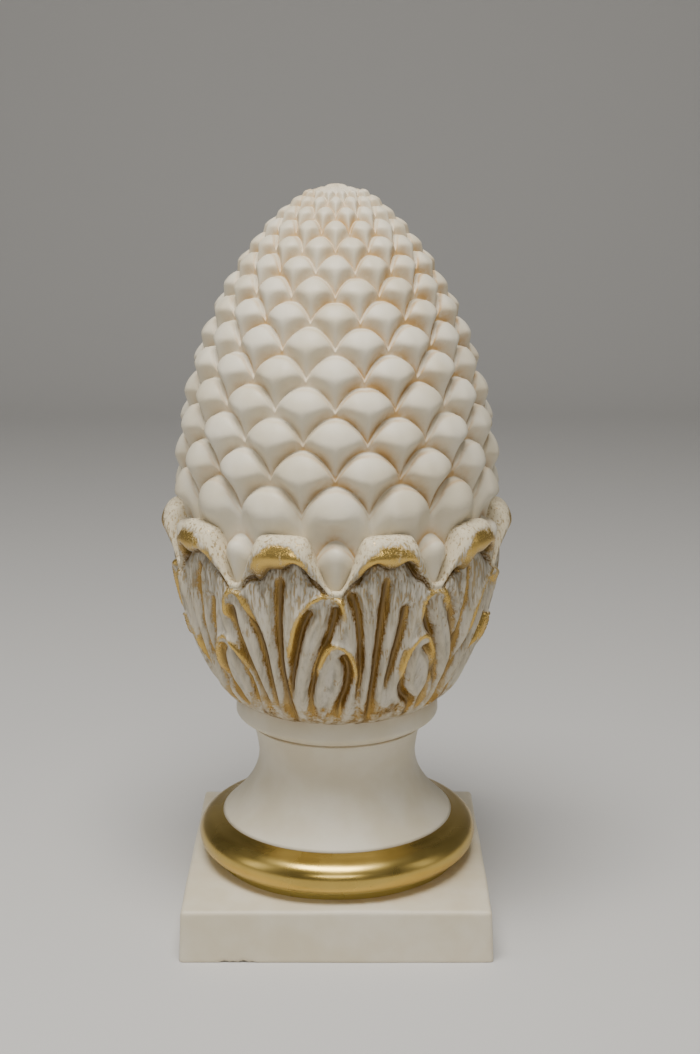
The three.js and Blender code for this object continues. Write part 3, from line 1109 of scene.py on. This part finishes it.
def limewash_cover(shader, paint):
    """Where the limewash hides the gold: brushed, combed thin, and speckled on the heads."""
    brushed = shader.plus(shader.times(paint.streaks, 0.35), shader.times(paint.patches, 0.40))
    brushed = shader.plus(brushed, shader.times(paint.specks, 0.25))
    # The hollow mark bares the gold. In the grooves this is the real finish. Just under the lips
    # and in the undercuts it is painted shade.
    bared = shader.plus(shader.times(paint.hollow, 0.46), shader.times(paint.gilded, 0.35))
    bared = shader.plus(bared, paint.at_foot)
    cover = shader.spread(shader.minus(brushed, bared), 0.17, 0.32)
    combed = shader.spread(paint.hairs, 0.40, 0.49, 0.35, 1.0)
    unbroken = shader.minus(shader.spread(paint.patches, 0.38, 0.46),
                            shader.times(paint.near_heads, 0.8))
    cover = shader.times(cover, shader.larger(combed, unbroken))
    speckled = shader.times(shader.spread(paint.cream, 0.05, 0.9),
                            shader.spread(paint.specks, 0.45, 0.56))
    on_ridge = shader.times(paint.ridge, shader.spread(paint.patches, 0.42, 0.60))
    return shader.larger(cover, shader.larger(speckled, on_ridge))


def limewash_colour(shader, paint):
    hatched = shader.times(paint.near_heads, shader.spread(paint.hairs, 0.6, 0.4, 0.0, 0.18))
    tint = shader.spread(shader.minus(paint.streaks, hatched), 0.30, 0.60)
    wash = shader.blend(tint, LIMEWASH, PALE_LIMEWASH)
    wash = shader.blend(shader.times(paint.ridge, 0.6), wash, CREAM)
    return shader.blend(shader.spread(paint.cream, 0.2, 0.9), wash, HEAD_CREAM)


def limewashed_gold():
    """Gold leaves brushed over with limewash, umber brown in the groove creases, and painted shade
    under the rolled lips.
    """
    material, shader, surface, place = new_material("limewashed_gold")
    paint = LeafPaint(shader, place)
    cover = limewash_cover(shader, paint)
    # The crease mark darkens towards umber. In the groove creases this is the real finish. Under
    # the rolled lips, in the flank undercuts and on the lips' undersides it is painted shade.
    umber_and_shade = shader.times(paint.crease_and_shade, shader.spread(paint.patches, 0.3, 0.6, 0.6, 1.0))
    metal = shader.blend(shader.spread(paint.patches, 0.35, 0.7), DULL_GOLD, GOLD)
    metal = shader.blend(paint.gilded, metal, BRIGHT_GOLD)
    metal = shader.blend(umber_and_shade, metal, UMBER_AND_SHADE)
    wash = limewash_colour(shader, paint)
    shader.feed(surface, "Base Color", shader.blend(cover, metal, wash))
    bare = shader.minus(1.0, cover)
    shader.feed(surface, "Metallic",
                shader.times(bare, shader.minus(0.9, shader.times(umber_and_shade, 0.7))))
    shader.feed(surface, "Roughness", shader.spread(cover, 0.0, 1.0, 0.26, 0.70))
    relief = shader.plus(shader.times(cover, 0.5), shader.times(paint.hairs, 0.8))
    add_bump(shader, surface, relief, 0.7, BRUSH_RELIEF)
    return material


# The stage: camera, floor and lights.

# The camera, in plinth widths from the middle of the plinth's underside.
CAMERA_PLACE = (0.0438, -5.428, 2.638)
CAMERA_DROP = math.radians(13.755)
CAMERA_LENS = 57.9
CAMERA_SENSOR = 36.0

# Metres.
FLOOR_HALF = 3.0
FLOOR_BACK = 1.6
FLOOR_BEND = 0.6
BACKDROP_HEIGHT = 3.0
LIGHT_AIM = (0.0, 0.0, 0.2)
WARM_WHITE = (1.0, 0.98, 0.95)
ROOM_TINT = (0.82, 0.81, 0.79, 1.0)
ROOM_STRENGTH = 0.15


def make_camera():
    data = bpy.data.cameras.new("camera")
    data.lens = CAMERA_LENS
    data.sensor_width = CAMERA_SENSOR
    camera = bpy.data.objects.new("camera", data)
    camera.location = [step * PLINTH_WIDTH * MM for step in CAMERA_PLACE]
    camera.rotation_euler = (math.pi / 2 - CAMERA_DROP, 0.0, 0.0)
    bpy.context.scene.collection.objects.link(camera)
    bpy.context.scene.camera = camera


def make_paper():
    material, shader, surface, place = new_material("pale_paper")
    shader.feed(surface, "Base Color", PAPER)
    shader.feed(surface, "Roughness", 0.9)
    return material


def make_sweep():
    """A pale floor that curves up into a plain backdrop."""
    sheet = bmesh.new()
    section = [(-FLOOR_HALF, 0.0)]
    for turn in np.linspace(-math.pi / 2, 0, 16):
        section.append((FLOOR_BACK + FLOOR_BEND * math.cos(turn),
                        FLOOR_BEND + FLOOR_BEND * math.sin(turn)))
    section.append((FLOOR_BACK + FLOOR_BEND, BACKDROP_HEIGHT))
    side = [sheet.verts.new((-FLOOR_HALF, y, z)) for y, z in section]
    chain = [sheet.edges.new(pair) for pair in zip(side, side[1:])]
    wide = bmesh.ops.extrude_edge_only(sheet, edges=chain)
    moved = [part for part in wide["geom"] if isinstance(part, bmesh.types.BMVert)]
    bmesh.ops.translate(sheet, vec=(2 * FLOOR_HALF, 0, 0), verts=moved)
    bmesh.ops.recalc_face_normals(sheet, faces=sheet.faces)
    mesh = bpy.data.meshes.new("sweep")
    sheet.to_mesh(mesh)
    sheet.free()
    mesh.shade_smooth()
    mesh.materials.append(make_paper())
    sweep = bpy.data.objects.new("sweep", mesh)
    bpy.context.scene.collection.objects.link(sweep)


def make_light(name, place, size, power):
    """A rectangular lamp turned towards the finial."""
    data = bpy.data.lights.new(name, "AREA")
    data.shape = "RECTANGLE"
    data.size, data.size_y = size
    data.energy = power
    data.color = WARM_WHITE
    light = bpy.data.objects.new(name, data)
    light.location = place
    facing = np.subtract(LIGHT_AIM, place)
    level = math.hypot(facing[0], facing[1])
    light.rotation_euler = (math.atan2(level, -facing[2]), 0.0,
                            math.atan2(-facing[0], facing[1]))
    bpy.context.scene.collection.objects.link(light)


def light_stage():
    make_light("top_light", (-0.10, -0.45, 1.5), (0.9, 0.5), 29.0)
    make_light("front_strip", (0.0, -1.6, 0.85), (0.9, 0.18), 5.0)
    make_light("left_fill", (-1.4, -0.5, 0.7), (0.4, 0.9), 2.2)
    make_light("right_fill", (1.4, -0.4, 0.6), (0.4, 0.9), 1.2)
    world = bpy.data.worlds.new("studio")
    world.use_nodes = True
    background = world.node_tree.nodes["Background"]
    background.inputs["Color"].default_value = ROOM_TINT
    background.inputs["Strength"].default_value = ROOM_STRENGTH
    bpy.context.scene.world = world


def main():
    grain = make_casting_grain()
    wash = make_old_wash()
    dressed = (
        (make_plinth(), cream_paint("cream_plinth", grain, wash, plinth_seams, PLINTH_WASH)),
        (make_ring(), antique_gold(grain)),
        (make_neck(), cream_paint("cream_neck", grain, wash, neck_seams, NECK_WASH)),
        (make_cup(), limewashed_gold()),
        (make_cone(), cream_paint("cream_scales", grain, wash, scale_seams, SCALE_WASH)),
    )
    for piece, material in dressed:
        piece.data.materials.append(material)
    make_sweep()
    light_stage()
    make_camera()


main()
